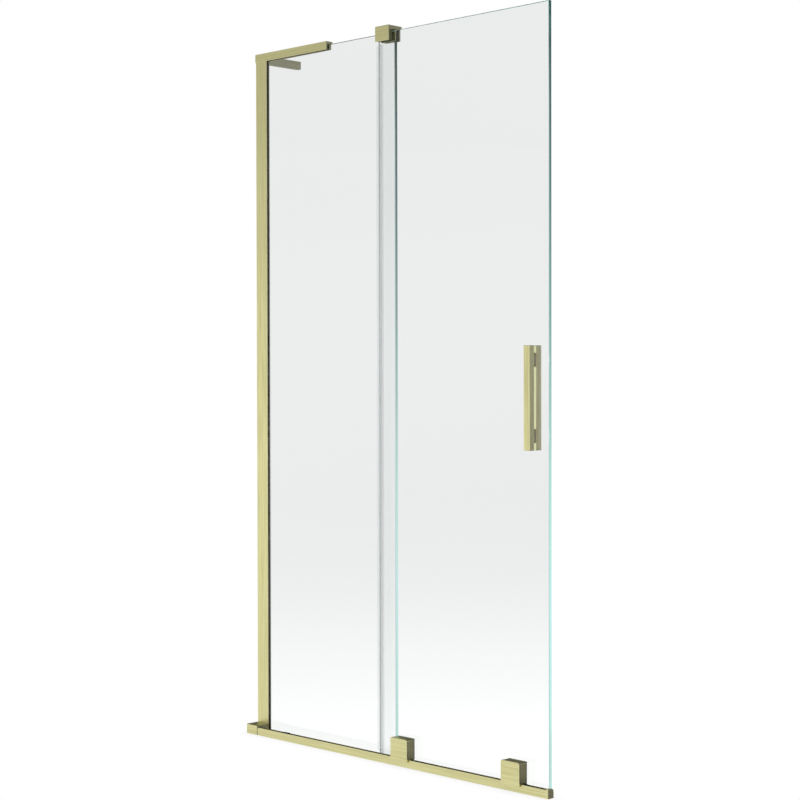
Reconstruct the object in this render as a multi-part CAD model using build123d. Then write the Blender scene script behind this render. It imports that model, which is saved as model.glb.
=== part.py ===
from build123d import *
import os
from math import sqrt

# Sliding bath screen, in millimetres.
# X runs along the screen from the wall, Z up from the bath rim, and Y is zero on the mid-plane of the
# fixed pane. The front of the screen faces -Y.

# Glass
glass_thickness = 8.0
glass_arris = 1.0
fixed_pane_top = 1502.0
fixed_pane_bedding = 12.0
setting_strip_thickness = 2.0
screen_length = 873.0
door_end_margin = 12.9
door_pane_width = 457.1
door_top_drop = 2.0
door_pane_bottom = 8.0
door_stop_gap = 6.6
pane_gap = 7.5
pane_overlap = 36.0

# Wall profile and its glazing gaskets
profile_width = 35.4
profile_wall = 1.5
profile_web = 2.5
gasket_thickness = 0.7
gasket_lead = 4.0
gasket_recess = 0.5
wall_hole_radius = 2.6
wall_hole_count = 4
wall_hole_inset = 55.5

# Clamp bar on top of the fixed pane
clamp_length = 232.5
clamp_height = 17.5
clamp_wall = 3.5
clamp_rear_wall = 5.7
clamp_over_glass = 6.5
liner_thickness = 0.8
liner_recess = 0.5
clamp_screw_radius = 2.5
clamp_screw_count = 3
clamp_screw_first = 62.0
clamp_screw_pitch = 74.0

# Arm along the wall, with its bracket
arm_width = 11.6
arm_reach = 121.3
arm_drop = 1.0
arm_head = 16.0
arm_end_wall = 6.0
arm_side_wall = 2.6
arm_pocket_depth = 7.0
bracket_thickness = 3.0
bracket_fit = 0.3
bracket_hole_spacing = 60.0
arm_screw_radius = 2.5
arm_screw_length = 14.0
arm_lock_spacing = 40.0
arm_lock_radius = 2.0

# Bottom rail
rail_depth = 16.2
rail_front_height = 16.6
rail_rear_height = 14.7
rail_wall = 1.8
rail_floor = 2.0
track_height = 8.0
track_thickness = 2.0
rail_to_glass = 2.8
plug_fit = 0.1
plug_length = 12.0

# End pieces of the rail
end_block_short = 1.2
end_block_height = 20.5
end_gasket_thickness = 2.0
end_gasket_recess = 0.5
dowel_radius = 1.5
dowel_length = 9.4
dowel_inset = 9.0
end_cap_thickness = 5.0
end_cap_over = 2.1
end_cap_corner = 7.0

# Roller carriages
carriage_inset = 78.3
carriage_width = 46.4
carriage_top = 58.0
carriage_foot_gap = 0.5
carriage_heel_gap = 0.4
carriage_corner = 3.5
carriage_gasket_thickness = 1.0
carriage_gasket_recess = 0.4
clamp_centre_height = 42.0
boss_radius = 6.8
sleeve_wall = 1.0
glass_hole_fit = 0.2
disc_radius = 12.0
disc_thickness = 4.0
disc_washer_thickness = 0.8
carriage_screw_radius = 3.0
carriage_screw_length = 16.0

# Cover plates of the carriages
cover_width = 47.2
cover_thickness = 4.0
cover_gap = 0.8
cover_over_top = 0.4
cover_rail_overlap = 4.3
cover_corner = 3.5
cover_pad_inset = 4.0
peg_radius = 2.0
peg_length = 5.0
peg_inset = 6.0

# Wheels
wheel_radius = 13.75
wheel_width = 6.6
wheel_track_gap = 0.25
wheel_side_gap = 0.5
wheel_well_gap = 2.0
wheel_edge = 0.8
bearing_radius = 9.5
bearing_width = 6.0
shield_groove = 0.4
shield_inner_rim = 1.6
shield_outer_rim = 1.4
axle_radius = 3.0
axle_fit = 0.05
axle_blind_wall = 2.0

# Rubber stops in the rail
stop_length = 16.0
stop_height = 8.2
stop_side_gap = 0.5
stop_wheel_gap = 0.5
stop_screw_radius = 1.5
stop_screw_length = 9.5

# Guide block at the top
guide_width = 39.5
guide_past_glass = 5.0
guide_front_wall = 3.0
guide_rear_wall = 3.6
guide_height = 30.8
guide_over_glass = 8.9
guide_edge = 0.8
slide_insert_front = 8.4
slide_insert_back = 3.2
slide_insert_top = 1.2
slide_insert_recess = 1.0
slide_clearance = 0.4
slide_top_gap = 2.0
guide_screw_radius = 2.0
guide_screw_spacing = 20.0

# Seals of the door pane
seal_wall = 0.9
seal_grip = 9.0
seal_end_gap = 4.0
seal_lip_thickness = 0.8
seal_lip_reach = 20.1
seal_lip_gap = 0.3
drip_grip = 5.0
drip_end_inset = 1.0
drip_rim_gap = 1.0

# Handle
handle_length = 200.0
handle_width = 15.0
handle_depth = 13.6
handle_rear_depth = 15.2
handle_inset = 36.1
handle_centre_height = 752.3
handle_fixing_spacing = 145.0
handle_edge = 0.5
pad_thickness = 0.7
pad_height = 26.0
pad_side_inset = 0.2
pad_corner = 5.0
strip_glass_gap = 0.1
strip_pad_gap = 0.3
handle_hole_radius = 6.0
stud_radius = 3.0
stud_front_depth = 9.0
stud_rear_depth = 9.0
handle_screw_radius = 2.0

# Fits shared by the fasteners, and the broken edges of the gold pieces
edge_break = 0.4
screw_fit = 0.05
screw_recess = 0.2
head_ratio = 2.0
key_ratio = 0.5
key_depth = 1.2

# Planes and lines that several pieces share
half_glass = glass_thickness / 2
door_back = -half_glass - pane_gap
door_front = door_back - glass_thickness
door_right = screen_length - door_end_margin
door_left = door_right - door_pane_width
door_pane_top = fixed_pane_top - door_top_drop
fixed_pane_right = door_left + pane_overlap
seal_outer = door_left - seal_wall
seal_lip_end = seal_outer - seal_lip_reach
door_travel = seal_lip_end - profile_width - door_stop_gap
profile_half = half_glass + gasket_thickness + profile_wall
clamp_front = -half_glass - liner_thickness - clamp_wall
clamp_back = half_glass + liner_thickness + clamp_rear_wall
clamp_top = fixed_pane_top + clamp_over_glass
clamp_bottom = clamp_top - clamp_height
arm_top = clamp_top - arm_drop
arm_bottom = clamp_bottom - arm_drop
rail_back = door_front - rail_to_glass
rail_front = rail_back - rail_depth
rail_middle = (rail_front + rail_back) / 2
end_block_length = profile_width - end_block_short
rail_left = end_block_length + end_gasket_thickness
rail_right = screen_length - end_cap_thickness
channel_front = rail_front + rail_wall
channel_back = rail_back - rail_wall
axle_height = track_height + wheel_track_gap + wheel_radius
carriage_foot = rail_front_height + carriage_foot_gap
carriage_heel = rail_rear_height + carriage_heel_gap
carriage_back = door_front - carriage_gasket_thickness


# Shapes used by several pieces
def block(x0, x1, y0, y1, z0, z1):
    """Box between two values on each axis."""
    centre = Pos((x0 + x1) / 2, (y0 + y1) / 2, (z0 + z1) / 2)
    return centre * Box(x1 - x0, y1 - y0, z1 - z0)


def rod_x(y, z, x0, x1, radius):
    """Round bar along X."""
    return Pos((x0 + x1) / 2, y, z) * Rot(0, 90, 0) * Cylinder(radius, x1 - x0)


def rod_y(x, z, y0, y1, radius):
    """Round bar along Y."""
    return Pos(x, (y0 + y1) / 2, z) * Rot(90, 0, 0) * Cylinder(radius, y1 - y0)


def rod_z(x, y, z0, z1, radius):
    """Round bar along Z."""
    return Pos(x, y, (z0 + z1) / 2) * Cylinder(radius, z1 - z0)


def rounded_plate(x0, x1, z0, z1, y0, y1, radius):
    """Upright plate whose two top corners are rounded."""
    plate = block(x0, x1, y0, y1, z0, z1)
    top_corners = plate.edges().filter_by(Axis.Y).group_by(Axis.Z)[-1]
    return fillet(top_corners, radius)


def grub_screw(radius, length):
    """Headless screw that runs down -Z from its socket face at the origin."""
    body = Pos(0, 0, -length / 2) * Cylinder(radius, length)
    depth = min(key_depth, length / 2)
    socket = extrude(RegularPolygon(radius * key_ratio, 6), -depth)
    return body - socket


def countersunk_screw(radius, length):
    """Screw with a flush cone head, which runs down -Z from its head face at the origin."""
    head_radius = radius * head_ratio
    head_height = head_radius - radius
    head = Pos(0, 0, -head_height / 2) * Cone(radius, head_radius, head_height)
    shank = Pos(0, 0, -length / 2) * Cylinder(radius, length)
    socket = extrude(RegularPolygon(radius * key_ratio, 6), -key_depth)
    return head + shank - socket


def countersink(radius, length):
    """Hole for a countersunk screw, with the screw's own fit all round."""
    hole_radius = radius + screw_fit
    mouth_radius = radius * head_ratio + screw_fit
    mouth_height = mouth_radius - hole_radius
    mouth = Pos(0, 0, -mouth_height / 2) * Cone(hole_radius, mouth_radius, mouth_height)
    shank = Pos(0, 0, -length / 2) * Cylinder(hole_radius, length)
    return mouth + shank


def glass_pane(x0, x1, y0, y1, z0, z1):
    """Pane of toughened glass with ground edges."""
    pane = block(x0, x1, y0, y1, z0, z1)
    return chamfer(pane.edges(), glass_arris)


nodes = {}


# Wall profile: a channel screwed to the wall, which holds the fixed pane's edge
wall_hole_span = clamp_bottom - 2 * wall_hole_inset
wall_hole_heights = [
    wall_hole_inset + wall_hole_span * index / (wall_hole_count - 1) for index in range(wall_hole_count)
]
profile = block(0, profile_width, -profile_half, profile_half, 0, clamp_bottom)
profile -= block(
    profile_web,
    profile_width,
    -profile_half + profile_wall,
    profile_half - profile_wall,
    0,
    clamp_bottom,
)
for height in wall_hole_heights:
    profile -= rod_x(0, height, 0, profile_web, wall_hole_radius)

end_block_middle = end_block_height / 2
dowel_places = [dowel_inset, end_block_length - dowel_inset]
dowel_tip = -profile_half + profile_wall - screw_fit
for x in dowel_places:
    profile -= rod_y(x, end_block_middle, -profile_half, 0, dowel_radius + screw_fit)
nodes["wall_profile"] = profile

gasket_front = block(
    fixed_pane_bedding + gasket_lead,
    profile_width - gasket_recess,
    -half_glass - gasket_thickness,
    -half_glass,
    setting_strip_thickness,
    clamp_bottom - gasket_recess,
)
nodes["glazing_gaskets"] = Compound([gasket_front, mirror(gasket_front, Plane.XZ)])


# Fixed pane, on a strip that beds it on the bath rim
nodes["fixed_pane"] = glass_pane(
    fixed_pane_bedding,
    fixed_pane_right,
    -half_glass,
    half_glass,
    setting_strip_thickness,
    fixed_pane_top,
)
nodes["pane_setting_strip"] = block(
    fixed_pane_bedding,
    fixed_pane_right,
    -half_glass,
    half_glass,
    0,
    setting_strip_thickness,
)


# Clamp bar: an upturned channel that sits on the fixed pane's top edge
slot_half = half_glass + liner_thickness
slot_top = fixed_pane_top + liner_thickness
clamp_bar = block(0, clamp_length, clamp_front, clamp_back, clamp_bottom, clamp_top)
clamp_bar = chamfer(clamp_bar.edges().filter_by(Axis.X).group_by(Axis.Z)[-1], edge_break)
clamp_bar -= block(0, clamp_length, -slot_half, slot_half, clamp_bottom, slot_top)
clamp_screw_places = [clamp_screw_first + clamp_screw_pitch * index for index in range(clamp_screw_count)]
clamp_screw_height = (clamp_bottom + slot_top) / 2
clamp_screws = []
for x in clamp_screw_places:
    clamp_bar -= rod_y(x, clamp_screw_height, slot_half, clamp_back, clamp_screw_radius + screw_fit)
    seat = Plane((x, clamp_back - screw_recess, clamp_screw_height), z_dir=(0, 1, 0))
    clamp_screws.append(seat * grub_screw(clamp_screw_radius, clamp_rear_wall - screw_recess))
nodes["clamp_screws"] = Compound(clamp_screws)

liner = block(
    fixed_pane_bedding,
    clamp_length - liner_recess,
    -slot_half,
    slot_half,
    clamp_bottom,
    slot_top,
)
liner -= block(
    fixed_pane_bedding,
    clamp_length - liner_recess,
    -half_glass,
    half_glass,
    clamp_bottom,
    fixed_pane_top,
)
nodes["clamp_liner"] = liner


# Arm along the wall, hung on a bracket and screwed to the clamp bar from inside its slot
arm_screw_seat = Plane((arm_width / 2, slot_half, clamp_screw_height), z_dir=(0, -1, 0))
clamp_bar -= arm_screw_seat * countersink(arm_screw_radius, arm_screw_length)
nodes["clamp_bar"] = clamp_bar
nodes["arm_joint_screw"] = arm_screw_seat * countersunk_screw(arm_screw_radius, arm_screw_length)

pocket_front = clamp_back + arm_head
pocket_back = arm_reach - arm_end_wall
pocket_bottom = arm_bottom + arm_side_wall
pocket_top = arm_top - arm_side_wall
arm = block(0, arm_width, clamp_back, arm_reach, arm_bottom, arm_top)
arm_corner = arm.edges().filter_by(Axis.Y).group_by(Axis.Z)[-1].sort_by(Axis.X)[-1]
arm = chamfer(arm_corner, edge_break)
arm -= block(0, arm_pocket_depth, pocket_front, pocket_back, pocket_bottom, pocket_top)
arm -= arm_screw_seat * countersink(arm_screw_radius, arm_screw_length)

bracket_middle = (pocket_front + pocket_back) / 2
bracket_height = (pocket_bottom + pocket_top) / 2
bracket = block(
    0,
    bracket_thickness,
    pocket_front + bracket_fit,
    pocket_back - bracket_fit,
    pocket_bottom + bracket_fit,
    pocket_top - bracket_fit,
)
for side in (-1, 1):
    hole_y = bracket_middle + side * bracket_hole_spacing / 2
    bracket -= rod_x(hole_y, bracket_height, 0, bracket_thickness, wall_hole_radius)
nodes["arm_bracket"] = bracket

arm_lock_screws = []
arm_lock_length = arm_side_wall + bracket_fit - screw_recess
for side in (-1, 1):
    lock_y = bracket_middle + side * arm_lock_spacing / 2
    lock_x = arm_lock_radius + screw_recess
    arm -= rod_z(lock_x, lock_y, arm_bottom, pocket_bottom, arm_lock_radius + screw_fit)
    seat = Plane((lock_x, lock_y, arm_bottom + screw_recess), z_dir=(0, 0, -1))
    arm_lock_screws.append(seat * grub_screw(arm_lock_radius, arm_lock_length))
nodes["wall_arm"] = arm
nodes["arm_lock_screws"] = Compound(arm_lock_screws)


# Bottom rail: a channel with a track for the wheels above a closed chamber
rail_outline = Polyline(
    (rail_front, 0),
    (rail_back, 0),
    (rail_back, rail_rear_height),
    (channel_back, rail_rear_height),
    (channel_back, track_height),
    (channel_front, track_height),
    (channel_front, rail_front_height),
    (rail_front, rail_front_height),
    close=True,
)
chamber_top = track_height - track_thickness
rail_section = make_face(Plane.YZ * rail_outline)
rail = Pos(rail_left, 0, 0) * extrude(rail_section, rail_right - rail_left, dir=(1, 0, 0))
rail -= block(rail_left, rail_right, channel_front, channel_back, rail_floor, chamber_top)


def chamber_plug(x0, x1):
    """Tongue that fits the rail's closed chamber."""
    return block(
        x0,
        x1,
        channel_front + plug_fit,
        channel_back - plug_fit,
        rail_floor + plug_fit,
        chamber_top - plug_fit,
    )


# End block between the rail and the wall profile, pinned to the profile, with a gasket before the rail
end_block = block(0, end_block_length, rail_front, -profile_half, 0, end_block_height)
end_block_corner = end_block.edges().filter_by(Axis.X).group_by(Axis.Z)[-1].sort_by(Axis.Y)[0]
end_block = chamfer(end_block_corner, edge_break)
end_block_tongue = chamber_plug(end_block_length, rail_left + plug_length)
end_block += end_block_tongue
dowels = []
for x in dowel_places:
    end_block -= rod_y(x, end_block_middle, dowel_tip - dowel_length, 0, dowel_radius + screw_fit)
    dowels.append(rod_y(x, end_block_middle, dowel_tip - dowel_length, dowel_tip, dowel_radius))
nodes["rail_end_block"] = end_block
nodes["end_block_dowels"] = Compound(dowels)

gasket_outline = Polyline(
    (rail_front + end_gasket_recess, 0),
    (rail_back - end_gasket_recess, 0),
    (rail_back - end_gasket_recess, rail_rear_height - end_gasket_recess),
    (rail_front + end_gasket_recess, rail_front_height - end_gasket_recess),
    close=True,
)
end_gasket = extrude(make_face(Plane.YZ * gasket_outline), end_gasket_thickness, dir=(1, 0, 0))
nodes["rail_end_gasket"] = Pos(end_block_length, 0, 0) * end_gasket - end_block_tongue

cap_height = rail_front_height + end_cap_over
end_cap = block(rail_right, screen_length, rail_front, rail_back, 0, cap_height)
cap_corner = end_cap.edges().filter_by(Axis.X).group_by(Axis.Z)[-1].sort_by(Axis.Y)[-1]
end_cap = fillet(cap_corner, end_cap_corner)
end_cap += chamber_plug(rail_right - plug_length, rail_right)
nodes["rail_end_cap"] = end_cap


# Door pane, with holes for its carriages and its handle
carriage_left_x = door_left + carriage_inset
carriage_right_x = door_right - carriage_inset
carriage_hole_radius = boss_radius + sleeve_wall + glass_hole_fit
handle_right = door_right - handle_inset
handle_left = handle_right - handle_width
handle_x = (handle_left + handle_right) / 2
handle_fixing_heights = [
    handle_centre_height - handle_fixing_spacing / 2,
    handle_centre_height + handle_fixing_spacing / 2,
]
door_pane = glass_pane(door_left, door_right, door_front, door_back, door_pane_bottom, door_pane_top)
for x in (carriage_left_x, carriage_right_x):
    door_pane -= rod_y(x, clamp_centre_height, door_front, door_back, carriage_hole_radius)
for height in handle_fixing_heights:
    door_pane -= rod_y(handle_x, height, door_front, door_back, handle_hole_radius)
nodes["sliding_pane"] = door_pane


# Seal on the door pane's inner edge, with a long soft lip towards the fixed pane
guide_top = fixed_pane_top + guide_over_glass
guide_bottom = guide_top - guide_height
drip_top = door_pane_bottom + drip_grip
seal_bottom = drip_top + drip_end_inset
seal_top = guide_bottom - seal_end_gap
edge_seal = block(
    seal_outer,
    door_left + seal_grip,
    door_front - seal_wall,
    door_back + seal_wall,
    seal_bottom,
    seal_top,
)
edge_seal -= block(door_left, door_left + seal_grip, door_front, door_back, seal_bottom, seal_top)
seal_back = door_back + seal_wall
lip_back = -half_glass - seal_lip_gap
lip_outline = Polyline(
    (seal_outer, seal_back),
    (seal_lip_end, lip_back),
    (seal_lip_end, lip_back - seal_lip_thickness),
    (seal_outer, seal_back - seal_lip_thickness),
    close=True,
)
edge_seal += Pos(0, 0, seal_bottom) * extrude(make_face(lip_outline), seal_top - seal_bottom)
nodes["edge_seal"] = edge_seal

drip_left = door_left + drip_end_inset
drip_right = door_right - drip_end_inset
drip_seal = block(
    drip_left,
    drip_right,
    door_front - seal_wall,
    door_back + seal_wall,
    door_pane_bottom - seal_wall,
    drip_top,
)
drip_seal -= block(drip_left, drip_right, door_front, door_back, door_pane_bottom, drip_top)
door_middle = (door_front + door_back) / 2
drip_seal += block(
    drip_left,
    drip_right,
    door_middle - seal_lip_thickness / 2,
    door_middle + seal_lip_thickness / 2,
    drip_rim_gap,
    door_pane_bottom - seal_wall,
)
nodes["drip_seal"] = drip_seal


# Handle: two bars that clamp the door pane between pads and thin strips, on studs through the glass
handle_bottom = handle_centre_height - handle_length / 2
handle_top = handle_bottom + handle_length
bar_back = door_front - pad_thickness
bar_front = bar_back - handle_depth
rear_bar_front = door_back + pad_thickness
rear_bar_back = rear_bar_front + handle_rear_depth
front_bar = block(handle_left, handle_right, bar_front, bar_back, handle_bottom, handle_top)
front_bar = chamfer(front_bar.edges(), handle_edge)
rear_bar = block(handle_left, handle_right, rear_bar_front, rear_bar_back, handle_bottom, handle_top)
rear_bar = chamfer(rear_bar.edges(), handle_edge)

pads = []
sleeves = []
studs = []
handle_screws = []
handle_screw_length = handle_width / 2 - stud_radius - screw_recess
for height in handle_fixing_heights:
    stud_front = bar_back - stud_front_depth
    stud_back = rear_bar_front + stud_rear_depth
    stud_hole = rod_y(handle_x, height, stud_front, stud_back, stud_radius + screw_fit)
    front_bar -= stud_hole
    front_bar -= rod_x(
        bar_back - stud_front_depth / 2,
        height,
        handle_left,
        handle_x,
        handle_screw_radius + screw_fit,
    )
    rear_bar -= stud_hole
    studs.append(rod_y(handle_x, height, stud_front, stud_back, stud_radius))
    sleeve = rod_y(handle_x, height, door_front, door_back, handle_hole_radius - glass_hole_fit)
    sleeves.append(sleeve - stud_hole)
    seat = Plane(
        (handle_left + screw_recess, bar_back - stud_front_depth / 2, height),
        z_dir=(-1, 0, 0),
    )
    handle_screws.append(seat * grub_screw(handle_screw_radius, handle_screw_length))
    for y0, y1 in ((bar_back, door_front), (door_back, rear_bar_front)):
        pad = block(
            handle_left + pad_side_inset,
            handle_right - pad_side_inset,
            y0,
            y1,
            height - pad_height / 2,
            height + pad_height / 2,
        )
        pad = fillet(pad.edges().filter_by(Axis.Y), pad_corner)
        pads.append(pad - stud_hole)
nodes["handle_front_bar"] = front_bar
nodes["handle_rear_bar"] = rear_bar
nodes["handle_pads"] = Compound(pads)

pad_reach = pad_height / 2 + strip_pad_gap
strips = []
for z0, z1 in (
    (handle_bottom + handle_edge, handle_fixing_heights[0] - pad_reach),
    (handle_fixing_heights[0] + pad_reach, handle_fixing_heights[1] - pad_reach),
    (handle_fixing_heights[1] + pad_reach, handle_top - handle_edge),
):
    for y0, y1 in ((bar_back, door_front - strip_glass_gap), (door_back + strip_glass_gap, rear_bar_front)):
        strips.append(block(handle_left + handle_edge, handle_right - handle_edge, y0, y1, z0, z1))
nodes["handle_strips"] = Compound(strips)
nodes["handle_sleeves"] = Compound(sleeves)
nodes["handle_studs"] = Compound(studs)
nodes["handle_screws"] = Compound(handle_screws)


# Roller carriages: each has a body over the rail, a cover in front and a clamp through the glass
def carriage_body(x):
    """Body with a well for the wheel, a heel behind it, an axle bore and a boss through the glass."""
    half = carriage_width / 2
    body = rounded_plate(
        x - half, x + half, carriage_foot, carriage_top, rail_front, carriage_back, carriage_corner
    )
    body += block(x - half, x + half, channel_back, carriage_back, carriage_heel, carriage_foot)
    well_half = wheel_width / 2 + wheel_side_gap
    well_reach = wheel_radius + wheel_well_gap
    body -= block(
        x - well_reach,
        x + well_reach,
        rail_middle - well_half,
        rail_middle + well_half,
        carriage_foot,
        axle_height + well_reach,
    )
    boss_tip = door_back - screw_recess
    body += rod_y(x, clamp_centre_height, carriage_back, boss_tip, boss_radius)
    axle_end = carriage_back - axle_blind_wall
    body -= rod_y(x, axle_height, rail_front, axle_end, axle_radius + screw_fit)
    body -= carriage_clamp_seat(x) * countersink(carriage_screw_radius, carriage_screw_length)
    for side in (-1, 1):
        peg_x = x + side * (half - peg_inset)
        peg_z = carriage_top - peg_inset
        body -= rod_y(peg_x, peg_z, rail_front, rail_front + peg_length, peg_radius + screw_fit)
    return body


def carriage_clamp_seat(x):
    """Plane of the clamp screw's head, on the back of the clamp disc."""
    return Plane((x, disc_back, clamp_centre_height), z_dir=(0, 1, 0))


def cover_plate(x):
    """Plate with a pad behind it that keeps it clear of the rail, and two pegs into the body."""
    half = cover_width / 2
    cover_back = rail_front - cover_gap
    cover_bottom = rail_front_height - cover_rail_overlap
    cover_top = carriage_top + cover_over_top
    cover = rounded_plate(
        x - half,
        x + half,
        cover_bottom,
        cover_top,
        cover_back - cover_thickness,
        cover_back,
        cover_corner,
    )
    cover = chamfer(cover.faces().sort_by(Axis.Y)[0].edges(), edge_break)
    cover += block(
        x - half + cover_pad_inset,
        x + half - cover_pad_inset,
        cover_back,
        rail_front,
        carriage_foot + cover_pad_inset,
        cover_top - cover_pad_inset,
    )
    for side in (-1, 1):
        peg_x = x + side * (carriage_width / 2 - peg_inset)
        peg_z = carriage_top - peg_inset
        cover += rod_y(peg_x, peg_z, cover_back, rail_front + peg_length - screw_recess, peg_radius)
    return cover


def wheel_tyre(x):
    """Nylon tyre of a wheel, with rounded edges."""
    half = wheel_width / 2
    tyre = rod_y(x, axle_height, rail_middle - half, rail_middle + half, wheel_radius)
    tyre = fillet(tyre.edges(), wheel_edge)
    return tyre - rod_y(x, axle_height, rail_middle - half, rail_middle + half, bearing_radius)


def wheel_bearing(x):
    """Sealed ball bearing, with its shields set back between the two rings."""
    half = bearing_width / 2
    bearing = rod_y(x, axle_height, rail_middle - half, rail_middle + half, bearing_radius)
    bore_radius = axle_radius + axle_fit
    for side in (-1, 1):
        face = rail_middle + side * half
        floor = face - side * shield_groove
        groove = rod_y(x, axle_height, min(face, floor), max(face, floor), bearing_radius - shield_outer_rim)
        groove -= rod_y(x, axle_height, min(face, floor), max(face, floor), bore_radius + shield_inner_rim)
        bearing -= groove
    return bearing - rod_y(x, axle_height, rail_middle - half, rail_middle + half, bore_radius)


disc_front = door_back + disc_washer_thickness
disc_back = disc_front + disc_thickness
for side_name, x in (("left", carriage_left_x), ("right", carriage_right_x)):
    nodes[side_name + "_roller_body"] = carriage_body(x)
    nodes[side_name + "_roller_cover"] = cover_plate(x)
    nodes[side_name + "_wheel_tyre"] = wheel_tyre(x)
    nodes[side_name + "_wheel_bearing"] = wheel_bearing(x)
    axle_end = carriage_back - axle_blind_wall - screw_recess
    nodes[side_name + "_axle"] = rod_y(x, axle_height, rail_front, axle_end, axle_radius)

    gasket = block(
        x - carriage_width / 2 + carriage_gasket_recess,
        x + carriage_width / 2 - carriage_gasket_recess,
        carriage_back,
        door_front,
        carriage_heel + carriage_gasket_recess,
        carriage_top - carriage_gasket_recess,
    )
    boss_way = rod_y(x, clamp_centre_height, carriage_back, door_back, boss_radius + screw_fit)
    nodes[side_name + "_roller_gasket"] = gasket - boss_way

    sleeve = rod_y(x, clamp_centre_height, door_front, door_back, boss_radius + sleeve_wall)
    nodes[side_name + "_glass_sleeve"] = sleeve - boss_way

    screw_way = carriage_clamp_seat(x) * countersink(carriage_screw_radius, carriage_screw_length)
    washer = rod_y(x, clamp_centre_height, door_back, disc_front, disc_radius)
    nodes[side_name + "_disc_washer"] = washer - screw_way
    disc = rod_y(x, clamp_centre_height, disc_front, disc_back, disc_radius)
    nodes[side_name + "_clamp_disc"] = disc - screw_way
    nodes[side_name + "_clamp_screw"] = carriage_clamp_seat(x) * countersunk_screw(
        carriage_screw_radius, carriage_screw_length
    )


# Rubber stops in the rail, which the wheels meet at the two ends of the door's travel
stop_top = track_height + stop_height
wheel_meets_stop = sqrt(wheel_radius**2 - (axle_height - stop_top) ** 2)
stop_reach = wheel_meets_stop + stop_wheel_gap
left_stop_face = carriage_left_x - door_travel - stop_reach
right_stop_face = carriage_right_x + stop_reach
stops = []
stop_screws = []
for x0 in (left_stop_face - stop_length, right_stop_face):
    stop = block(
        x0,
        x0 + stop_length,
        channel_front + stop_side_gap,
        channel_back - stop_side_gap,
        track_height,
        stop_top,
    )
    seat = Plane((x0 + stop_length / 2, rail_middle, stop_top), z_dir=(0, 0, 1))
    rail -= seat * countersink(stop_screw_radius, stop_screw_length)
    stops.append(stop - seat * countersink(stop_screw_radius, stop_screw_length))
    stop_screws.append(seat * countersunk_screw(stop_screw_radius, stop_screw_length))
nodes["bottom_rail"] = rail
nodes["rail_stops"] = Compound(stops)
nodes["rail_stop_screws"] = Compound(stop_screws)


# Guide block: clamped on the fixed pane's top corner, with a chamber for the insert that guides the door
guide_right = fixed_pane_right + guide_past_glass
guide_left = guide_right - guide_width
guide_back = slot_half + guide_rear_wall
slide_front = door_front - slide_clearance
slide_back = door_back + slide_clearance
slide_top = door_pane_top + slide_top_gap
chamber_front = slide_front - slide_insert_front
chamber_back = slide_back + slide_insert_back
chamber_roof = slide_top + slide_insert_top
guide_front = chamber_front - guide_front_wall
guide_block = block(guide_left, guide_right, guide_front, guide_back, guide_bottom, guide_top)
guide_block = chamfer(guide_block.edges(), guide_edge)
guide_block -= block(guide_left, guide_right, chamber_front, chamber_back, guide_bottom, chamber_roof)
guide_block -= block(guide_left, guide_right, -slot_half, slot_half, guide_bottom, slot_top)

guide_screws = []
guide_middle = (guide_left + fixed_pane_right) / 2
guide_screw_height = (guide_bottom + slot_top) / 2
for side in (-1, 1):
    x = guide_middle + side * guide_screw_spacing / 2
    guide_block -= rod_y(x, guide_screw_height, slot_half, guide_back, guide_screw_radius + screw_fit)
    seat = Plane((x, guide_back - screw_recess, guide_screw_height), z_dir=(0, 1, 0))
    guide_screws.append(seat * grub_screw(guide_screw_radius, guide_rear_wall - screw_recess))
nodes["guide_block"] = guide_block
nodes["guide_screws"] = Compound(guide_screws)

slide_insert = block(
    guide_left + slide_insert_recess,
    guide_right - slide_insert_recess,
    chamber_front,
    chamber_back,
    guide_bottom + slide_insert_recess,
    chamber_roof,
)
slide_insert -= block(guide_left, guide_right, slide_front, slide_back, guide_bottom, slide_top)
nodes["guide_insert"] = slide_insert

guide_gasket = block(
    guide_left + slide_insert_recess,
    fixed_pane_right,
    -slot_half,
    slot_half,
    guide_bottom + slide_insert_recess,
    slot_top,
)
guide_gasket -= block(
    guide_left, fixed_pane_right, -half_glass, half_glass, guide_bottom, fixed_pane_top
)
nodes["guide_gasket"] = guide_gasket


# One file for each piece
os.makedirs("parts", exist_ok=True)
for name, shape in nodes.items():
    export_step(shape, "parts/" + name + ".step")
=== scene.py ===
from math import radians

import bmesh
import bpy
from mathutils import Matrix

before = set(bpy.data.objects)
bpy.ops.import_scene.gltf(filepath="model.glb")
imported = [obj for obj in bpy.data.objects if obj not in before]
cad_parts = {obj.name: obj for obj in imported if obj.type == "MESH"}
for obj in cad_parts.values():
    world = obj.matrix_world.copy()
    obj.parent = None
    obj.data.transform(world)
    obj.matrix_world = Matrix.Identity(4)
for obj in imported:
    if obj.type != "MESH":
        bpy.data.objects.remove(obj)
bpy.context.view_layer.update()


# The wall profile is an extruded aluminium channel, screwed to the tiles, that takes the fixed pane's
# edge. It is anodised pale gold over a fine brushed grain that runs up its length.
def dress(material, *names):
    """Gives a finish to all the slots of the named pieces."""
    for name in names:
        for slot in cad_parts[name].material_slots:
            slot.material = material


def nodes_of(material):
    """Empties the node tree of a new material, and gives its nodes and its links."""
    material.use_nodes = True
    material.node_tree.nodes.clear()
    return material.node_tree.nodes, material.node_tree.links


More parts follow.
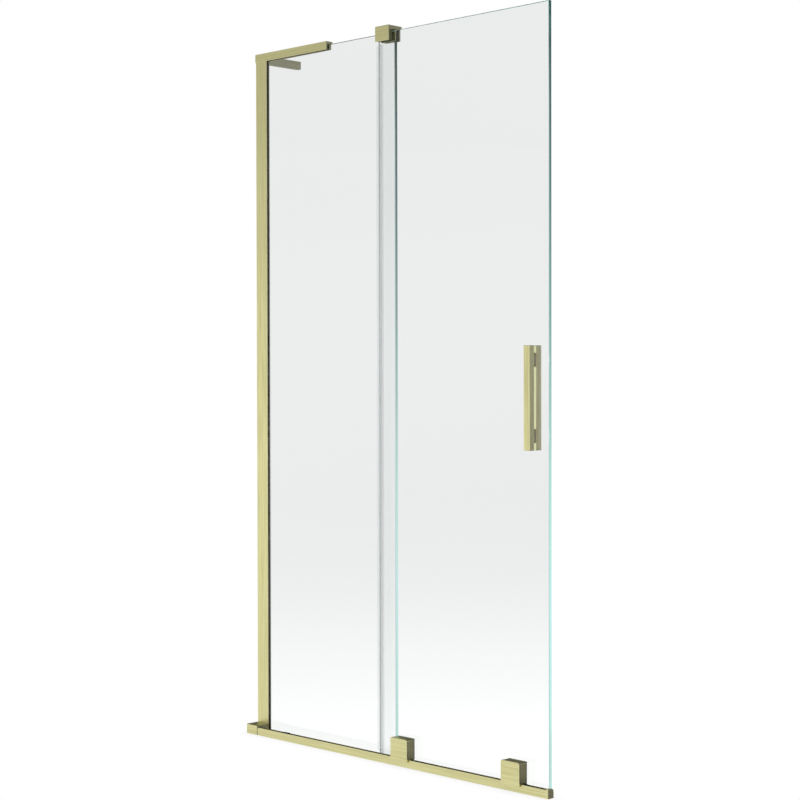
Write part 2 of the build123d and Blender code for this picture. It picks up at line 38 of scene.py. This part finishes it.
def brushed_grain():
    """Scratches of a belt-brushed surface. Across is 1 on the axes that the grain crosses, and 0 along it.

    Across Ends is the same for the faces that look along X, which are the ends of the level bars.
    """
    end_face_tilt = 0.7
    line_share = 0.35
    darkest_noise, brightest_noise = 0.37, 0.63
    group = bpy.data.node_groups.new("brushed grain", "ShaderNodeTree")
    sockets = group.interface
    for name, kind in (
        ("Across", "NodeSocketVector"),
        ("Across Ends", "NodeSocketVector"),
        ("Bright", "NodeSocketColor"),
        ("Dull", "NodeSocketColor"),
        ("Smooth", "NodeSocketFloat"),
        ("Rough", "NodeSocketFloat"),
    ):
        sockets.new_socket(name, in_out="INPUT", socket_type=kind)
    for name, kind in (
        ("Color", "NodeSocketColor"),
        ("Roughness", "NodeSocketFloat"),
        ("Height", "NodeSocketFloat"),
    ):
        sockets.new_socket(name, in_out="OUTPUT", socket_type=kind)
    nodes, links = group.nodes, group.links
    given = nodes.new("NodeGroupInput")
    result = nodes.new("NodeGroupOutput")
    place = nodes.new("ShaderNodeTexCoord")

    facing = nodes.new("ShaderNodeNewGeometry")
    split = nodes.new("ShaderNodeSeparateXYZ")
    links.new(facing.outputs["Normal"], split.inputs["Vector"])
    sideways = nodes.new("ShaderNodeMath")
    sideways.operation = "ABSOLUTE"
    links.new(split.outputs["X"], sideways.inputs[0])
    end_face = nodes.new("ShaderNodeMath")
    end_face.operation = "GREATER_THAN"
    end_face.inputs[1].default_value = end_face_tilt
    links.new(sideways.outputs["Value"], end_face.inputs[0])
    # A Mix node of vectors has its A and B at inputs 4 and 5, and its result at output 1.
    crossed = nodes.new("ShaderNodeMix")
    crossed.data_type = "VECTOR"
    links.new(end_face.outputs["Value"], crossed.inputs["Factor"])
    links.new(given.outputs["Across"], crossed.inputs[4])
    links.new(given.outputs["Across Ends"], crossed.inputs[5])

    def scratches(along, across, detail):
        """Noise drawn out along the grain, with so many waves a metre along it and across it."""
        stretch = nodes.new("ShaderNodeVectorMath")
        stretch.operation = "MULTIPLY_ADD"
        stretch.inputs[1].default_value = (across - along,) * 3
        stretch.inputs[2].default_value = (along,) * 3
        links.new(crossed.outputs[1], stretch.inputs[0])
        drawn = nodes.new("ShaderNodeVectorMath")
        drawn.operation = "MULTIPLY"
        links.new(place.outputs["Object"], drawn.inputs[0])
        links.new(stretch.outputs["Vector"], drawn.inputs[1])
        noise = nodes.new("ShaderNodeTexNoise")
        noise.inputs["Scale"].default_value = 1
        noise.inputs["Detail"].default_value = detail
        noise.inputs["Roughness"].default_value = 0.6
        links.new(drawn.outputs["Vector"], noise.inputs["Vector"])
        return noise

    bands = scratches(along=7, across=330, detail=3)
    lines = scratches(along=16, across=1300, detail=4)
    faint = nodes.new("ShaderNodeMath")
    faint.operation = "MULTIPLY"
    faint.inputs[1].default_value = line_share
    links.new(lines.outputs["Fac"], faint.inputs[0])
    both = nodes.new("ShaderNodeMath")
    both.operation = "MULTIPLY_ADD"
    both.inputs[1].default_value = 1 - line_share
    links.new(bands.outputs["Fac"], both.inputs[0])
    links.new(faint.outputs["Value"], both.inputs[2])
    contrast = nodes.new("ShaderNodeMapRange")
    contrast.inputs["From Min"].default_value = darkest_noise
    contrast.inputs["From Max"].default_value = brightest_noise
    links.new(both.outputs["Value"], contrast.inputs["Value"])

    colour = nodes.new("ShaderNodeMix")
    colour.data_type = "RGBA"
    links.new(contrast.outputs["Result"], colour.inputs["Factor"])
    links.new(given.outputs["Dull"], colour.inputs["A"])
    links.new(given.outputs["Bright"], colour.inputs["B"])
    links.new(colour.outputs["Result"], result.inputs["Color"])
    rough = nodes.new("ShaderNodeMix")
    links.new(contrast.outputs["Result"], rough.inputs["Factor"])
    links.new(given.outputs["Rough"], rough.inputs["A"])
    links.new(given.outputs["Smooth"], rough.inputs["B"])
    links.new(rough.outputs["Result"], result.inputs["Roughness"])
    links.new(contrast.outputs["Result"], result.inputs["Height"])
    return group


def painted_edge_highlight():
    """Painted highlight: white on a narrow band along the edges, standing in for the light that they catch.

    The turn is the cosine between the flat face and the edge rounded to Width. It is 1 on open faces.
    """
    first_turn, full_turn = 0.99, 0.8
    group = bpy.data.node_groups.new("painted edge highlight", "ShaderNodeTree")
    group.interface.new_socket("Width", in_out="INPUT", socket_type="NodeSocketFloat")
    group.interface.new_socket("Mask", in_out="OUTPUT", socket_type="NodeSocketFloat")
    nodes, links = group.nodes, group.links
    given = nodes.new("NodeGroupInput")
    result = nodes.new("NodeGroupOutput")
    rounded = nodes.new("ShaderNodeBevel")
    rounded.samples = 4
    links.new(given.outputs["Width"], rounded.inputs["Radius"])
    flat = nodes.new("ShaderNodeNewGeometry")
    turn = nodes.new("ShaderNodeVectorMath")
    turn.operation = "DOT_PRODUCT"
    links.new(rounded.outputs["Normal"], turn.inputs[0])
    links.new(flat.outputs["Normal"], turn.inputs[1])
    highlight_share = nodes.new("ShaderNodeMapRange")
    highlight_share.inputs["From Min"].default_value = first_turn
    highlight_share.inputs["From Max"].default_value = full_turn
    links.new(turn.outputs["Value"], highlight_share.inputs["Value"])
    links.new(highlight_share.outputs["Result"], result.inputs["Mask"])
    return group


grain = brushed_grain()
# The painted highlight along the edges of the gold.
painted_highlight = painted_edge_highlight()
GOLD_BRIGHT = (0.75, 0.715, 0.375, 1)
GOLD_DULL = (0.615, 0.58, 0.282, 1)
# The paler gold is a painted highlight along the edges, and the width further down is how far in it
# reaches.
GOLD_EDGE_HIGHLIGHT = (0.93, 0.90, 0.64, 1)
GOLD_SMOOTH = 0.30
GOLD_ROUGH = 0.42
HIGHLIGHT_WIDTH = 0.0011
SCRATCH_DEPTH = 0.00005


def brushed_gold(name, across, across_ends):
    """Anodised pale gold, brushed along each face, with a painted highlight in paler gold along the edges.
    """
    material = bpy.data.materials.new(name)
    nodes, links = nodes_of(material)
    finish = nodes.new("ShaderNodeGroup")
    finish.node_tree = grain
    finish.inputs["Across"].default_value = across
    finish.inputs["Across Ends"].default_value = across_ends
    finish.inputs["Bright"].default_value = GOLD_BRIGHT
    finish.inputs["Dull"].default_value = GOLD_DULL
    finish.inputs["Smooth"].default_value = GOLD_SMOOTH
    finish.inputs["Rough"].default_value = GOLD_ROUGH
    # A painted highlight in paler gold along the edges.
    edges = nodes.new("ShaderNodeGroup")
    edges.node_tree = painted_highlight
    edges.inputs["Width"].default_value = HIGHLIGHT_WIDTH
    colour = nodes.new("ShaderNodeMix")
    colour.data_type = "RGBA"
    colour.inputs["B"].default_value = GOLD_EDGE_HIGHLIGHT
    links.new(edges.outputs["Mask"], colour.inputs["Factor"])
    links.new(finish.outputs["Color"], colour.inputs["A"])
    bump = nodes.new("ShaderNodeBump")
    bump.inputs["Strength"].default_value = 0.25
    bump.inputs["Distance"].default_value = SCRATCH_DEPTH
    metal = nodes.new("ShaderNodeBsdfPrincipled")
    metal.inputs["Metallic"].default_value = 1.0
    out = nodes.new("ShaderNodeOutputMaterial")
    links.new(colour.outputs["Result"], metal.inputs["Base Color"])
    links.new(finish.outputs["Roughness"], metal.inputs["Roughness"])
    links.new(finish.outputs["Height"], bump.inputs["Height"])
    links.new(bump.outputs["Normal"], metal.inputs["Normal"])
    links.new(metal.outputs["BSDF"], out.inputs["Surface"])
    return material


gold_upright = brushed_gold("gold brushed upright", across=(1, 1, 0), across_ends=(1, 1, 0))
dress(gold_upright, "wall_profile")


# The glazing gaskets are two strips of black rubber pushed in beside the glass. The same rubber lies
# under the pane, lines the clamp bar and the guide block, and beds the roller bodies and their discs on
# the glass. The stops in the rail and the gasket of its end block are cut from it too.
def mottled(name, low, high, scale, roughness, painted_glow=0.0):
    """Moulded or extruded soft material, with a fine mottle from low to high and an uneven skin."""
    sheen_spread = 0.08
    mottle_depth = 0.0001
    material = bpy.data.materials.new(name)
    nodes, links = nodes_of(material)
    place = nodes.new("ShaderNodeTexCoord")
    noise = nodes.new("ShaderNodeTexNoise")
    noise.inputs["Scale"].default_value = scale
    noise.inputs["Detail"].default_value = 3
    links.new(place.outputs["Object"], noise.inputs["Vector"])
    tone = nodes.new("ShaderNodeValToRGB")
    tone.color_ramp.elements[0].color = (*low, 1)
    tone.color_ramp.elements[1].color = (*high, 1)
    links.new(noise.outputs["Fac"], tone.inputs["Fac"])
    sheen = nodes.new("ShaderNodeMapRange")
    sheen.inputs["To Min"].default_value = roughness - sheen_spread
    sheen.inputs["To Max"].default_value = roughness + sheen_spread
    links.new(noise.outputs["Fac"], sheen.inputs["Value"])
    bump = nodes.new("ShaderNodeBump")
    bump.inputs["Strength"].default_value = 0.3
    bump.inputs["Distance"].default_value = mottle_depth
    links.new(noise.outputs["Fac"], bump.inputs["Height"])
    body = nodes.new("ShaderNodeBsdfPrincipled")
    # A painted glow: the surface gives out its own colour as light, though it is no lamp.
    body.inputs["Emission Strength"].default_value = painted_glow
    links.new(tone.outputs["Color"], body.inputs["Base Color"])
    links.new(tone.outputs["Color"], body.inputs["Emission Color"])
    links.new(sheen.outputs["Result"], body.inputs["Roughness"])
    links.new(bump.outputs["Normal"], body.inputs["Normal"])
    out = nodes.new("ShaderNodeOutputMaterial")
    links.new(body.outputs["BSDF"], out.inputs["Surface"])
    return material


rubber = mottled(
    "black rubber", low=(0.008, 0.008, 0.008), high=(0.03, 0.03, 0.028), scale=700, roughness=0.7
)
dress(rubber, "glazing_gaskets", "pane_setting_strip", "clamp_liner", "guide_gasket")
dress(rubber, "left_roller_gasket", "right_roller_gasket", "left_disc_washer", "right_disc_washer")
dress(rubber, "rail_stops", "rail_end_gasket")


# The insert of the guide block is milled from dark olive nylon. It fills the block's chamber and keeps
# the sliding pane in its slot, and the pane runs against nothing but this nylon.
olive_nylon = mottled(
    "dark olive nylon", low=(0.17, 0.175, 0.07), high=(0.25, 0.255, 0.11), scale=400, roughness=0.5
)
dress(olive_nylon, "guide_insert")


# The fixed pane and the sliding pane are 8 mm toughened float glass, cut, ground and drilled before they
# were toughened. The iron in it shows green along the edges, where light has passed through the width of
# the pane, and here that green is a painted glow on the edges. The ground corners get a pale painted
# highlight. The painted glow is brightest in the lower half.
PANE_TOP = 1.5
BODY_TINT = (0.937, 0.945, 0.942, 1)
EDGE_TINT = (0.02, 0.08, 0.065, 1)
EDGE_ROUGHNESS = 0.2
# The corner colour is a painted highlight, and the edge colours are a painted glow, listed by share of the
# pane's height.
PAINTED_CORNER_HIGHLIGHT = (0.44, 0.57, 0.54, 1)
CORNER_FADES_FROM, CORNER_FADES_TO = 1.30, 1.49
PAINTED_EDGE_GLOW = (
    (0.03, (0.45, 0.72, 0.67, 1)),
    (0.12, (0.475, 0.78, 0.735, 1)),
    (0.245, (0.50, 0.79, 0.77, 1)),
    (0.372, (0.41, 0.70, 0.62, 1)),
    (0.498, (0.28, 0.47, 0.42, 1)),
    (0.625, (0.155, 0.29, 0.25, 1)),
    (0.75, (0.095, 0.17, 0.155, 1)),
    (0.877, (0.05, 0.097, 0.088, 1)),
    (0.965, (0.02, 0.055, 0.047, 1)),
    (0.993, (0.0, 0.005, 0.004, 1)),
)


def clear_glass():
    """Clear body, with a painted green glow on the ground edges and a pale painted highlight on the
    corners.

    Edges and corners are told from the faces by the normal's share along Y, which is 1 on the faces.
    """
    edge_starts, edge_ends = 0.65, 0.4
    corner_starts, corner_ends = 0.9, 0.8
    material = bpy.data.materials.new("clear float glass")
    nodes, links = nodes_of(material)
    facing = nodes.new("ShaderNodeNewGeometry")
    split = nodes.new("ShaderNodeSeparateXYZ")
    links.new(facing.outputs["Normal"], split.inputs["Vector"])
    flat = nodes.new("ShaderNodeMath")
    flat.operation = "ABSOLUTE"
    links.new(split.outputs["Y"], flat.inputs[0])
    edge = nodes.new("ShaderNodeMapRange")
    edge.inputs["From Min"].default_value = edge_starts
    edge.inputs["From Max"].default_value = edge_ends
    links.new(flat.outputs["Value"], edge.inputs["Value"])
    ground_corner = nodes.new("ShaderNodeMapRange")
    ground_corner.inputs["From Min"].default_value = corner_starts
    ground_corner.inputs["From Max"].default_value = corner_ends
    links.new(flat.outputs["Value"], ground_corner.inputs["Value"])

    tint = nodes.new("ShaderNodeMix")
    tint.data_type = "RGBA"
    tint.inputs["A"].default_value = BODY_TINT
    tint.inputs["B"].default_value = EDGE_TINT
    links.new(edge.outputs["Result"], tint.inputs["Factor"])
    polish = nodes.new("ShaderNodeMapRange")
    polish.inputs["To Max"].default_value = EDGE_ROUGHNESS
    links.new(edge.outputs["Result"], polish.inputs["Value"])

    place = nodes.new("ShaderNodeTexCoord")
    rise = nodes.new("ShaderNodeSeparateXYZ")
    links.new(place.outputs["Object"], rise.inputs["Vector"])
    level = nodes.new("ShaderNodeMapRange")
    level.inputs["From Max"].default_value = PANE_TOP
    links.new(rise.outputs["Z"], level.inputs["Value"])
    # The painted glow of the edges, by height.
    edge_glow_by_height = nodes.new("ShaderNodeValToRGB")
    stops = edge_glow_by_height.color_ramp.elements
    stops[0].position, stops[0].color = PAINTED_EDGE_GLOW[0]
    stops[1].position, stops[1].color = PAINTED_EDGE_GLOW[-1]
    for share, colour in PAINTED_EDGE_GLOW[1:-1]:
        stops.new(share).color = colour
    links.new(level.outputs["Result"], edge_glow_by_height.inputs["Fac"])
    # The pale painted highlight on the ground corners, fading out towards the top.
    corner = nodes.new("ShaderNodeMix")
    corner.data_type = "RGBA"
    corner.inputs["A"].default_value = (0, 0, 0, 1)
    corner.inputs["B"].default_value = PAINTED_CORNER_HIGHLIGHT
    fade = nodes.new("ShaderNodeMapRange")
    fade.inputs["From Min"].default_value = CORNER_FADES_FROM
    fade.inputs["From Max"].default_value = CORNER_FADES_TO
    fade.inputs["To Min"].default_value = 1.0
    fade.inputs["To Max"].default_value = 0.05
    links.new(rise.outputs["Z"], fade.inputs["Value"])
    lit = nodes.new("ShaderNodeMath")
    lit.operation = "MULTIPLY"
    links.new(ground_corner.outputs["Result"], lit.inputs[0])
    links.new(fade.outputs["Result"], lit.inputs[1])
    links.new(lit.outputs["Value"], corner.inputs["Factor"])
    shown = nodes.new("ShaderNodeMix")
    shown.data_type = "RGBA"
    links.new(edge.outputs["Result"], shown.inputs["Factor"])
    links.new(corner.outputs["Result"], shown.inputs["A"])
    links.new(edge_glow_by_height.outputs["Color"], shown.inputs["B"])
    outside = nodes.new("ShaderNodeMix")
    outside.data_type = "RGBA"
    outside.inputs["B"].default_value = (0, 0, 0, 1)
    links.new(facing.outputs["Backfacing"], outside.inputs["Factor"])
    links.new(shown.outputs["Result"], outside.inputs["A"])

    glass = nodes.new("ShaderNodeBsdfPrincipled")
    glass.inputs["IOR"].default_value = 1.52
    glass.inputs["Transmission Weight"].default_value = 1.0
    glass.inputs["Emission Strength"].default_value = 1.0
    links.new(tint.outputs["Result"], glass.inputs["Base Color"])
    links.new(polish.outputs["Result"], glass.inputs["Roughness"])
    # The painted glow and highlight go out as emission, on the outer side only.
    links.new(outside.outputs["Result"], glass.inputs["Emission Color"])
    inside = nodes.new("ShaderNodeVolumeAbsorption")
    inside.inputs["Color"].default_value = (0.45, 0.86, 0.81, 1)
    inside.inputs["Density"].default_value = 2.5
    out = nodes.new("ShaderNodeOutputMaterial")
    links.new(glass.outputs["BSDF"], out.inputs["Surface"])
    links.new(inside.outputs["Volume"], out.inputs["Volume"])
    return material


glass = clear_glass()
dress(glass, "fixed_pane", "sliding_pane")


# The clamp bar caps the fixed pane, and the arm ties its wall end back to the wall. Both are cut from
# anodised aluminium bar in the same pale gold, brushed along their length before they were screwed
# together. The rail, the blocks at its ends and the guide block are brushed the same way.
gold_level = brushed_gold("gold brushed level", across=(0, 1, 1), across_ends=(1, 1, 0))
dress(gold_level, "clamp_bar", "bottom_rail", "rail_end_block", "rail_end_cap", "guide_block")
gold_arm = brushed_gold("gold brushed along the arm", across=(1, 0, 1), across_ends=(1, 0, 1))
dress(gold_arm, "wall_arm")


# The edge seal and the drip seal are extruded clear vinyl, pushed over the edges of the sliding pane.
# Their soft lips close the gap to the fixed pane and the gap over the bath rim.
def clear_vinyl():
    """Clear and soft, with a slight uneven haze. It is thin, so most of the light goes straight through."""
    material = bpy.data.materials.new("clear vinyl")
    nodes, links = nodes_of(material)
    place = nodes.new("ShaderNodeTexCoord")
    noise = nodes.new("ShaderNodeTexNoise")
    noise.inputs["Scale"].default_value = 60
    links.new(place.outputs["Object"], noise.inputs["Vector"])
    haze = nodes.new("ShaderNodeMapRange")
    haze.inputs["To Min"].default_value = 0.12
    haze.inputs["To Max"].default_value = 0.28
    links.new(noise.outputs["Fac"], haze.inputs["Value"])
    vinyl = nodes.new("ShaderNodeBsdfPrincipled")
    vinyl.inputs["Base Color"].default_value = (0.86, 0.88, 0.88, 1)
    vinyl.inputs["IOR"].default_value = 1.45
    vinyl.inputs["Alpha"].default_value = 0.125
    links.new(haze.outputs["Result"], vinyl.inputs["Roughness"])
    out = nodes.new("ShaderNodeOutputMaterial")
    links.new(vinyl.outputs["BSDF"], out.inputs["Surface"])
    return material


vinyl = clear_vinyl()
dress(vinyl, "edge_seal", "drip_seal")


# Each roller has a body machined from aluminium bar, a cover plate pegged to its front, and a disc behind
# the glass that clamps it to the sliding pane. All of them are brushed and anodised gold.
dress(gold_level, "left_roller_body", "right_roller_body", "left_roller_cover", "right_roller_cover")
dress(gold_level, "left_clamp_disc", "right_clamp_disc")


# The handle is two square aluminium bars, one on each face of the sliding pane, brushed upwards. Studs
# through the glass hold them together. Grey rubber pads at the studs and pale vinyl strips between the
# pads keep the metal off the glass. The pads have a faint painted glow, and the strips' pale colour and
# stronger painted glow paint a bright line of light in the gap between the bars.
dress(gold_upright, "handle_front_bar", "handle_rear_bar")
# A faint painted glow on the pads.
pad_rubber_painted_glow = mottled(
    "grey pad rubber with painted glow", low=(0.36, 0.34, 0.25), high=(0.44, 0.42, 0.32), scale=500, roughness=0.6, painted_glow=0.25
)
dress(pad_rubber_painted_glow, "handle_pads")
# Pale colour and painted glow: painted light in the gap between the bars.
pale_vinyl_painted_light = mottled(
    "pale vinyl strip with painted light", low=(0.80, 0.81, 0.52), high=(0.88, 0.89, 0.60), scale=200, roughness=0.5, painted_glow=0.52
)
dress(pale_vinyl_painted_light, "handle_strips")


# The wheel tyres and the sleeves in the glass holes are turned from natural nylon, which is slightly
# translucent and off-white. The sleeves keep the screws off the glass. Those at the handle stand between
# its bars, where a copy of the nylon with a strong painted glow makes them show as bright painted
# highlights.
nylon = mottled(
    "natural nylon", low=(0.62, 0.61, 0.56), high=(0.74, 0.73, 0.68), scale=300, roughness=0.45
)
dress(nylon, "left_glass_sleeve", "right_glass_sleeve", "left_wheel_tyre", "right_wheel_tyre")
# A lit copy of the nylon: its strong painted glow is a painted highlight at the handle's studs.
nylon_painted_glow = mottled(
    "nylon with painted glow", low=(0.70, 0.70, 0.62), high=(0.80, 0.80, 0.72), scale=300, roughness=0.45, painted_glow=0.8
)
dress(nylon_painted_glow, "handle_sleeves")


# The screws, the dowels, the axles, the wall bracket and the wheel bearings are plain stainless steel,
# turned or cut from sheet, and nearly all of them are hidden inside the gold pieces.
def plain_steel():
    """Bright stainless steel with faint turning marks."""
    material = bpy.data.materials.new("plain stainless steel")
    nodes, links = nodes_of(material)
    finish = nodes.new("ShaderNodeGroup")
    finish.node_tree = grain
    finish.inputs["Across"].default_value = (1, 0, 1)
    finish.inputs["Across Ends"].default_value = (1, 0, 1)
    finish.inputs["Bright"].default_value = (0.62, 0.62, 0.61, 1)
    finish.inputs["Dull"].default_value = (0.50, 0.50, 0.50, 1)
    finish.inputs["Smooth"].default_value = 0.2
    finish.inputs["Rough"].default_value = 0.35
    steel = nodes.new("ShaderNodeBsdfPrincipled")
    steel.inputs["Metallic"].default_value = 1.0
    links.new(finish.outputs["Color"], steel.inputs["Base Color"])
    links.new(finish.outputs["Roughness"], steel.inputs["Roughness"])
    out = nodes.new("ShaderNodeOutputMaterial")
    links.new(steel.outputs["BSDF"], out.inputs["Surface"])
    return material


steel = plain_steel()
dress(steel, "clamp_screws", "arm_joint_screw", "arm_lock_screws", "arm_bracket", "end_block_dowels")
dress(steel, "rail_stop_screws", "guide_screws", "handle_studs", "handle_screws")
dress(steel, "left_axle", "right_axle", "left_clamp_screw", "right_clamp_screw")
dress(steel, "left_wheel_bearing", "right_wheel_bearing")


# The floor stands for the bath rim and for the photo studio's white ground. It is matt white, with a
# painted shade only where the rail stands on it. It reaches far past the picture on every side.
GROUND_REACH = 200
GROUND_DROP = 0.0005
SHADE_REACH = 0.03
SHADE_LEVEL = 0.82


def white_ground():
    """White to the camera, with a soft painted shade where the object stands on it."""
    material = bpy.data.materials.new("white ground")
    nodes, links = nodes_of(material)
    path = nodes.new("ShaderNodeLightPath")
    # Ambient occlusion paints the shade into the white that the camera sees.
    hidden = nodes.new("ShaderNodeAmbientOcclusion")
    hidden.samples = 8
    hidden.inputs["Distance"].default_value = SHADE_REACH
    shade = nodes.new("ShaderNodeMapRange")
    shade.inputs["To Min"].default_value = SHADE_LEVEL
    links.new(hidden.outputs["AO"], shade.inputs["Value"])
    shown = nodes.new("ShaderNodeEmission")
    links.new(shade.outputs["Result"], shown.inputs["Color"])
    matt = nodes.new("ShaderNodeBsdfDiffuse")
    matt.inputs["Color"].default_value = (0.9, 0.9, 0.9, 1)
    seen = nodes.new("ShaderNodeMixShader")
    links.new(path.outputs["Is Camera Ray"], seen.inputs["Fac"])
    links.new(matt.outputs["BSDF"], seen.inputs[1])
    links.new(shown.outputs["Emission"], seen.inputs[2])
    out = nodes.new("ShaderNodeOutputMaterial")
    links.new(seen.outputs["Shader"], out.inputs["Surface"])
    return material


ground_mesh = bpy.data.meshes.new("ground")
shape = bmesh.new()
bmesh.ops.create_grid(shape, x_segments=1, y_segments=1, size=GROUND_REACH)
bmesh.ops.translate(shape, verts=shape.verts, vec=(0, 0, -GROUND_DROP))
shape.to_mesh(ground_mesh)
shape.free()
ground_mesh.materials.append(white_ground())
ground = bpy.data.objects.new("ground", ground_mesh)
bpy.context.scene.collection.objects.link(ground)
ground.visible_glossy = False
ground.visible_transmission = False


# The studio is a white room with soft light from the front, the left and the floor. It is dim overhead,
# behind and on the right, so that the tops and the right sides of the metal go dark. A large soft box at
# the front left adds a gentle light. The glass shows the white wall behind it slightly greyed.
SIDE_BLEND = 0.3
world = bpy.data.worlds.new("white studio")
bpy.context.scene.world = world
world.use_nodes = True
nodes, links = world.node_tree.nodes, world.node_tree.links
nodes.clear()
path = nodes.new("ShaderNodeLightPath")
direction = nodes.new("ShaderNodeTexCoord")
split = nodes.new("ShaderNodeSeparateXYZ")
links.new(direction.outputs["Generated"], split.inputs["Vector"])


def room_levels(*steps, tint=(1, 1, 1)):
    """Brightness of the room against the sine of the height, from straight down to straight up."""
    rise = nodes.new("ShaderNodeMapRange")
    rise.inputs["From Min"].default_value = -1
    links.new(split.outputs["Z"], rise.inputs["Value"])
    ramp = nodes.new("ShaderNodeValToRGB")
    links.new(rise.outputs["Result"], ramp.inputs["Fac"])
    elements = ramp.color_ramp.elements
    elements[0].position, elements[-1].position = (steps[0][0] + 1) / 2, (steps[-1][0] + 1) / 2
    elements[0].color = [steps[0][1] * part for part in tint] + [1]
    elements[-1].color = [steps[-1][1] * part for part in tint] + [1]
    for sine, level in steps[1:-1]:
        elements.new((sine + 1) / 2).color = [level * part for part in tint] + [1]
    return ramp.outputs["Color"]


def side_to_side(axis, low, high):
    """Goes softly from one side of the room to the other along an axis."""
    step = nodes.new("ShaderNodeMapRange")
    step.interpolation_type = "SMOOTHSTEP"
    step.inputs["From Min"].default_value = -SIDE_BLEND
    step.inputs["From Max"].default_value = SIDE_BLEND
    links.new(split.outputs[axis], step.inputs["Value"])
    mix = nodes.new("ShaderNodeMix")
    mix.data_type = "RGBA"
    links.new(step.outputs["Result"], mix.inputs["Factor"])
    links.new(low, mix.inputs["A"])
    links.new(high, mix.inputs["B"])
    return mix.outputs["Result"]


front = room_levels(
    (-1, 0.88), (-0.2, 0.89), (-0.07, 1.17), (0, 1.10), (0.1, 0.56), (0.2, 0.55), (0.5, 0.42), (1, 0.35)
)
back_left = room_levels(
    (-1, 0.55), (-0.5, 0.40), (-0.3, 0.32), (-0.2, 0.32), (-0.13, 0.38), (-0.07, 0.45), (-0.015, 0.46),
    (0.042, 0.36), (0.1, 0.21), (0.155, 0.10), (1, 0.09)
)
back_right = room_levels(
    (-1, 0.55), (-0.6, 0.40), (-0.35, 0.08), (-0.2, 0.06), (-0.1, 0.25), (-0.02, 1.0), (0.05, 0.68),
    (0.12, 0.28), (0.2, 0.16), (1, 0.11), tint=(0.97, 0.98, 1.25)
)
around = side_to_side("Y", front, side_to_side("X", back_left, back_right))
behind = room_levels(
    (-1, 1.15), (-0.2, 1.12), (-0.184, 1.07), (-0.156, 0.987), (-0.129, 0.911), (-0.1, 0.866),
    (-0.0715, 0.849), (-0.015, 0.867), (0.042, 0.902), (0.1, 0.921), (0.2, 0.935), (1, 0.95)
)

bounced = nodes.new("ShaderNodeMath")
bounced.operation = "ADD"
links.new(path.outputs["Glossy Depth"], bounced.inputs[0])
links.new(path.outputs["Diffuse Depth"], bounced.inputs[1])
straight = nodes.new("ShaderNodeMath")
straight.operation = "LESS_THAN"
straight.inputs[1].default_value = 0.5
links.new(bounced.outputs["Value"], straight.inputs[0])

room = nodes.new("ShaderNodeBackground")
links.new(around, room.inputs["Color"])
glazed = nodes.new("ShaderNodeBackground")
links.new(behind, glazed.inputs["Color"])
white = nodes.new("ShaderNodeBackground")
white.inputs["Color"].default_value = (1, 1, 1, 1)
through = nodes.new("ShaderNodeMixShader")
links.new(straight.outputs["Value"], through.inputs["Fac"])
links.new(room.outputs["Background"], through.inputs[1])
links.new(glazed.outputs["Background"], through.inputs[2])
seen = nodes.new("ShaderNodeMixShader")
links.new(path.outputs["Is Camera Ray"], seen.inputs["Fac"])
links.new(through.outputs["Shader"], seen.inputs[1])
links.new(white.outputs["Background"], seen.inputs[2])
out = nodes.new("ShaderNodeOutputWorld")
links.new(seen.outputs["Shader"], out.inputs["Surface"])


def softbox(name, place, turn, size, power):
    """Flat soft lamp that neither the camera nor the glass shows."""
    lamp = bpy.data.lights.new(name, "AREA")
    lamp.shape = "RECTANGLE"
    lamp.size, lamp.size_y = size
    lamp.energy = power
    thing = bpy.data.objects.new(name, lamp)
    thing.location = place
    thing.rotation_euler = [radians(angle) for angle in turn]
    thing.visible_camera = False
    thing.visible_transmission = False
    bpy.context.scene.collection.objects.link(thing)


softbox("front left softbox", place=(-4.0, -5.0, 0.6), turn=(88, 0, -39), size=(6, 3), power=8)


# The camera stands 3.6 m away at the front right, a little above the middle of the screen, where the edges
# in the photograph put it. Light may bounce often, because it crosses many faces of glass.
CAMERA_PLACE = (2.99095, -2.55522, 0.79919)
CAMERA_TURN = (89.135, 0.104, 44.899)
CAMERA_LENS = 78.93
CAMERA_SENSOR = 36
LIGHT_BOUNCES = 48

camera = bpy.data.cameras.new("camera")
camera.sensor_width = CAMERA_SENSOR
camera.lens = CAMERA_LENS
camera.clip_start = 0.1
camera_object = bpy.data.objects.new("camera", camera)
camera_object.location = CAMERA_PLACE
camera_object.rotation_euler = [radians(angle) for angle in CAMERA_TURN]
bpy.context.scene.collection.objects.link(camera_object)
bpy.context.scene.camera = camera_object
bpy.context.scene.view_settings.view_transform = "Standard"
bpy.context.scene.cycles.max_bounces = LIGHT_BOUNCES
bpy.context.scene.cycles.transmission_bounces = LIGHT_BOUNCES
bpy.context.scene.cycles.glossy_bounces = LIGHT_BOUNCES
